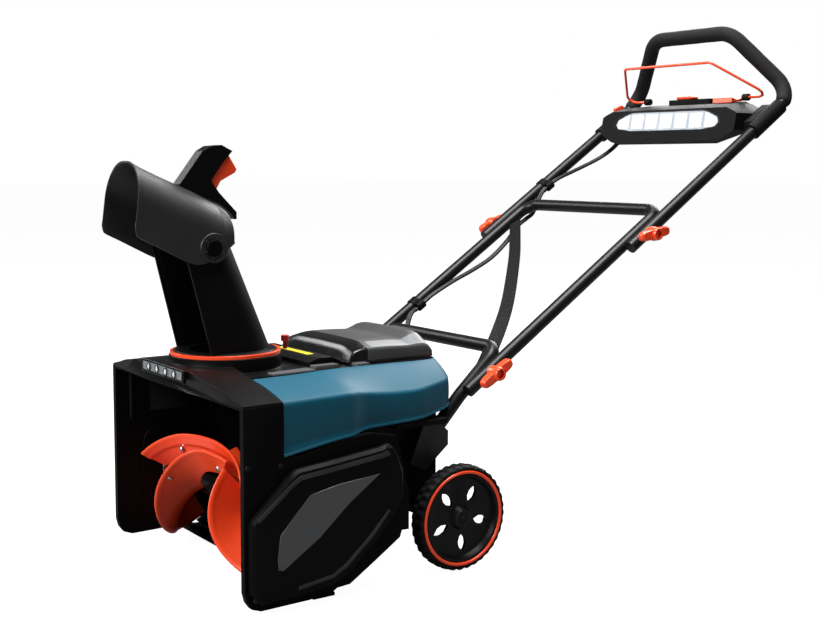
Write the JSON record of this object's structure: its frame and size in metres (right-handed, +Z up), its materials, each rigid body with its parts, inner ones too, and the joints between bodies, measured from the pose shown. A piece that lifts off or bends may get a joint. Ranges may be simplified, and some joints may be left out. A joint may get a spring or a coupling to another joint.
{
  "type": "single stage snowblower",
  "caption": "Walk-behind single stage snowblower: paddle auger in an open housing, turning chute with tilting deflector, side wheels and a folding tube handle.",
  "frame": {"origin": "on the floor at the middle of the wear bar, midway between the side plates", "axes": "+Z up, -Y the way the machine faces, +X the left of an operator who stands at the handle on the +Y side"},
  "size_m": [0.5716, 1.4534, 1.0287],
  "materials": {
    "black_plastic": "satin",
    "satin_black_plastic": "satin",
    "grey_plastic": "satin",
    "silver_plastic": "satin",
    "blue_plastic": "satin",
    "orange_plastic": "satin",
    "orange_rubber": "satin",
    "red_plastic": "satin",
    "tyre_rubber": "matte",
    "foam": "matte",
    "webbing": "woven",
    "cable_jacket": "satin",
    "belt_rubber": "matte",
    "coated_steel": "powder coated",
    "steel": "satin",
    "clear_lens": "clear",
    "orange_wire": "powder coated"
  },
  "bodies": {
    "chassis": {"auger_housing": "black_plastic", "scraper_bar": "black_plastic", "top_deck": "black_plastic", "led_bezel": "silver_plastic", "led_lens": "clear_lens", "chute_ring": "orange_plastic", "hood": "blue_plastic", "battery_pack": "black_plastic", "rear_chassis": "black_plastic", "control_unit": "grey_plastic", "drive_motor": "steel", "drive_belt": "belt_rubber", "bearing_left": "steel", "bearing_right": "steel", "belt_cover": "black_plastic", "bearing_cover": "black_plastic", "wheel_axle": "steel", "lower_frame": "coated_steel", "frame_bracket_left": "coated_steel", "frame_bracket_right": "coated_steel", "cable_lower": "cable_jacket"},
    "auger": {"auger_shaft": "coated_steel", "auger_flight_left": "orange_rubber", "auger_flight_right": "orange_rubber", "paddle_upper": "orange_rubber", "paddle_lower": "orange_rubber", "auger_pulley": "black_plastic"},
    "motor_drive": {"motor_pulley": "steel"},
    "wheel_left": {"wheel_rim_left": "black_plastic", "tyre_left": "tyre_rubber", "wheel_ring_left": "orange_plastic"},
    "wheel_right": {"wheel_rim_right": "black_plastic", "tyre_right": "tyre_rubber", "wheel_ring_right": "orange_plastic"},
    "chute": {"chute_tube": "satin_black_plastic", "deflector_pivot_left": "black_plastic", "deflector_pivot_right": "black_plastic"},
    "chute_lock": {"chute_lock_knob": "red_plastic"},
    "deflector": {"deflector": "satin_black_plastic", "deflector_grip": "satin_black_plastic"},
    "trigger": {"deflector_trigger": "orange_plastic"},
    "lid": {"battery_lid": "grey_plastic"},
    "middle_section": {"middle_frame": "coated_steel", "strap": "webbing", "cable_clip_lower": "black_plastic", "cable_middle": "cable_jacket"},
    "upper_section": {"upper_handle": "coated_steel", "foam_grip": "foam", "control_panel": "black_plastic", "headlight_lens": "clear_lens", "cable_clip_upper": "black_plastic", "cable_upper": "cable_jacket"},
    "lower_knob_left": {"lower_knob_left": "orange_plastic"},
    "lower_knob_right": {"lower_knob_right": "orange_plastic"},
    "upper_knob_left": {"upper_knob_left": "orange_plastic"},
    "upper_knob_right": {"upper_knob_right": "orange_plastic"},
    "bail": {"bail": "orange_wire"},
    "start_button": {"start_button": "orange_plastic"},
    "light_switch": {"light_switch": "orange_plastic"},
    "speed_lever": {"speed_lever": "orange_plastic"}
  },
  "joints": [
    {"name": "auger_spin", "type": "hinge", "parent": "chassis", "child": "auger", "pos_m": [0, -0.04, 0.125], "axis": [1, 0, 0], "continuous": true},
    {"name": "motor_spin", "type": "hinge", "parent": "chassis", "child": "motor_drive", "pos_m": [0.2765, 0.107, 0.205], "axis": [1, 0, 0], "continuous": true},
    {"name": "wheel_left_spin", "type": "hinge", "parent": "chassis", "child": "wheel_left", "pos_m": [0.262, 0.277, 0.0956], "axis": [1, 0, 0], "continuous": true},
    {"name": "wheel_right_spin", "type": "hinge", "parent": "chassis", "child": "wheel_right", "pos_m": [-0.262, 0.277, 0.0956], "axis": [1, 0, 0], "continuous": true},
    {"name": "chute_turn", "type": "hinge", "parent": "chassis", "child": "chute", "pos_m": [0, -0.05, 0.388], "axis": [0, 0, 1], "range_deg": [-90, 90]},
    {"name": "chute_lock_lift", "type": "slide", "parent": "chassis", "child": "chute_lock", "axis": [0, 0, 1], "range_m": [0, 0.006], "stiffness_N_per_m": 300, "springref_m": -0.002},
    {"name": "deflector_tilt", "type": "hinge", "parent": "chute", "child": "deflector", "pos_m": [0, -0.106, 0.581], "axis": [1, 0, 0], "range_deg": [-5, 35]},
    {"name": "trigger_squeeze", "type": "hinge", "parent": "deflector", "child": "trigger", "pos_m": [0, -0.073, 0.688], "axis": [1, 0, 0], "range_deg": [0, 8], "stiffness_Nm_per_rad": 0.4, "springref_deg": -11.46},
    {"name": "lid_open", "type": "hinge", "parent": "chassis", "child": "lid", "pos_m": [0, 0.133, 0.368], "axis": [1, 0, 0], "range_deg": [0, 50]},
    {"name": "lower_fold", "type": "hinge", "parent": "chassis", "child": "middle_section", "pos_m": [0, 0.3867, 0.3404], "axis": [1, 0, 0], "range_deg": [0, 88], "deforming": ["cable_middle", "strap"]},
    {"name": "upper_fold", "type": "hinge", "parent": "middle_section", "child": "upper_section", "pos_m": [0, 0.7635, 0.5889], "axis": [1, 0, 0], "range_deg": [-150, 0], "deforming": ["cable_upper", "cable_middle"]},
    {"name": "lower_knob_left_turn", "type": "hinge", "parent": "middle_section", "child": "lower_knob_left", "pos_m": [0.2191, 0.3867, 0.3404], "axis": [1, 0, 0], "continuous": true},
    {"name": "lower_knob_right_turn", "type": "hinge", "parent": "middle_section", "child": "lower_knob_right", "pos_m": [-0.2191, 0.3867, 0.3404], "axis": [1, 0, 0], "continuous": true},
    {"name": "upper_knob_left_turn", "type": "hinge", "parent": "upper_section", "child": "upper_knob_left", "pos_m": [0.2451, 0.7635, 0.5889], "axis": [1, 0, 0], "continuous": true},
    {"name": "upper_knob_right_turn", "type": "hinge", "parent": "upper_section", "child": "upper_knob_right", "pos_m": [-0.2451, 0.7635, 0.5889], "axis": [1, 0, 0], "continuous": true},
    {"name": "bail_squeeze", "type": "hinge", "parent": "upper_section", "child": "bail", "pos_m": [0, 1.152, 0.8748], "axis": [-1, 0, 0], "range_deg": [0, 36], "stiffness_Nm_per_rad": 0.5, "springref_deg": -17.19},
    {"name": "start_press", "type": "slide", "parent": "upper_section", "child": "start_button", "axis": [0, 0, -1], "range_m": [0, 0.003], "stiffness_N_per_m": 500, "springref_m": -0.001},
    {"name": "light_rock", "type": "hinge", "parent": "upper_section", "child": "light_switch", "pos_m": [0.1125, 1.134, 0.865], "axis": [1, 0, 0], "range_deg": [-8, 8]},
    {"name": "speed_turn", "type": "hinge", "parent": "upper_section", "child": "speed_lever", "pos_m": [-0.2195, 1.119, 0.8415], "axis": [1, 0, 0], "range_deg": [-12, 12]}
  ],
  "couplings": [
    {"joint": "motor_spin", "follows": "auger_spin", "ratio": 2.5}
  ]
}
